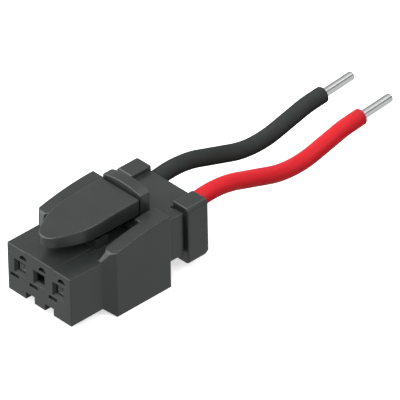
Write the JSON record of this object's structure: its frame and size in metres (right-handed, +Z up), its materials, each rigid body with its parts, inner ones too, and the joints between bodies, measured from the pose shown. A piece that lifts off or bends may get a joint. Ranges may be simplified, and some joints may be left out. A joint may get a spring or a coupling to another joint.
{
  "type": "rectangular plug socket with flying leads",
  "caption": "Small dark rectangular plug socket with a row of square pin entries, a bullet-shaped rocking thumb latch on top, a rear flange and short black and red stripped leads.",
  "frame": {"origin": "on the mating face, where the axis of the middle way leaves it", "axes": "+X across the ways, towards the red lead; +Y from the mating face back to the leads; +Z up, on the latch side"},
  "size_m": [0.0102, 0.0411, 0.0094],
  "materials": {
    "housing_plastic": "fine satin moulding",
    "tinned_contact": "bright tin plate",
    "tinned_copper": "solder-dipped strands",
    "black_insulation": "semi-gloss extrusion",
    "red_insulation": "semi-gloss extrusion"
  },
  "bodies": {
    "root": {"housing": "housing_plastic", "contact_black": "tinned_contact", "contact_red": "tinned_contact", "core_black": "tinned_copper", "core_red": "tinned_copper", "jacket_black": "black_insulation", "jacket_red": "red_insulation"}
  },
  "joints": []
}
